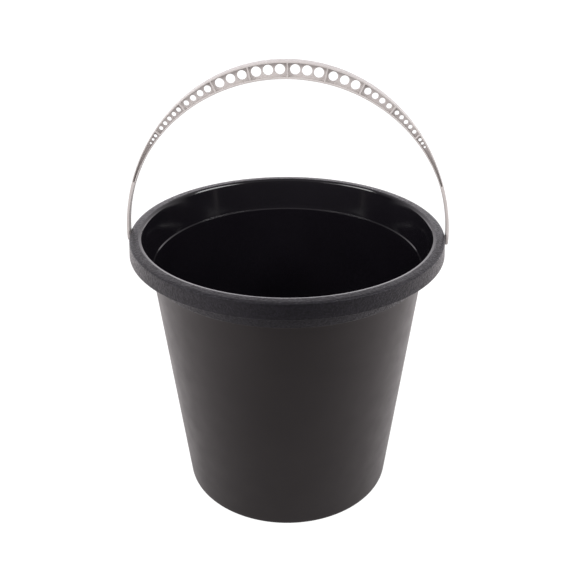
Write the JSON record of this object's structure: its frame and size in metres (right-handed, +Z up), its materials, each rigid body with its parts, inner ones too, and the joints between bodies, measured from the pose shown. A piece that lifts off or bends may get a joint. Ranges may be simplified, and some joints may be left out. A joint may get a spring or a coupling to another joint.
{
  "type": "florist bucket",
  "caption": "Round tapered plastic bucket with a stacking step, a rim with a down-turned skirt, and a swinging bail handle with a perforated web.",
  "frame": {"origin": "centre of the foot, on the surface the bucket stands on", "axes": "+Z up through the mouth, X along the handle's pivots, Y across the handle"},
  "size_m": [0.3054, 0.299, 0.4337],
  "materials": {
    "pail_plastic": "black injection-moulded polypropylene, satin outside, finely textured rim, glossier inside",
    "handle_plastic": "light warm grey injection-moulded plastic, satin"
  },
  "bodies": {
    "pail": {"pail": "pail_plastic"},
    "handle": {"handle": "handle_plastic"}
  },
  "joints": [
    {"name": "handle_swing", "type": "hinge", "parent": "pail", "child": "handle", "pos_m": [0, 0, 0.268], "axis": [1, 0, 0], "range_deg": [-122, 122]}
  ]
}
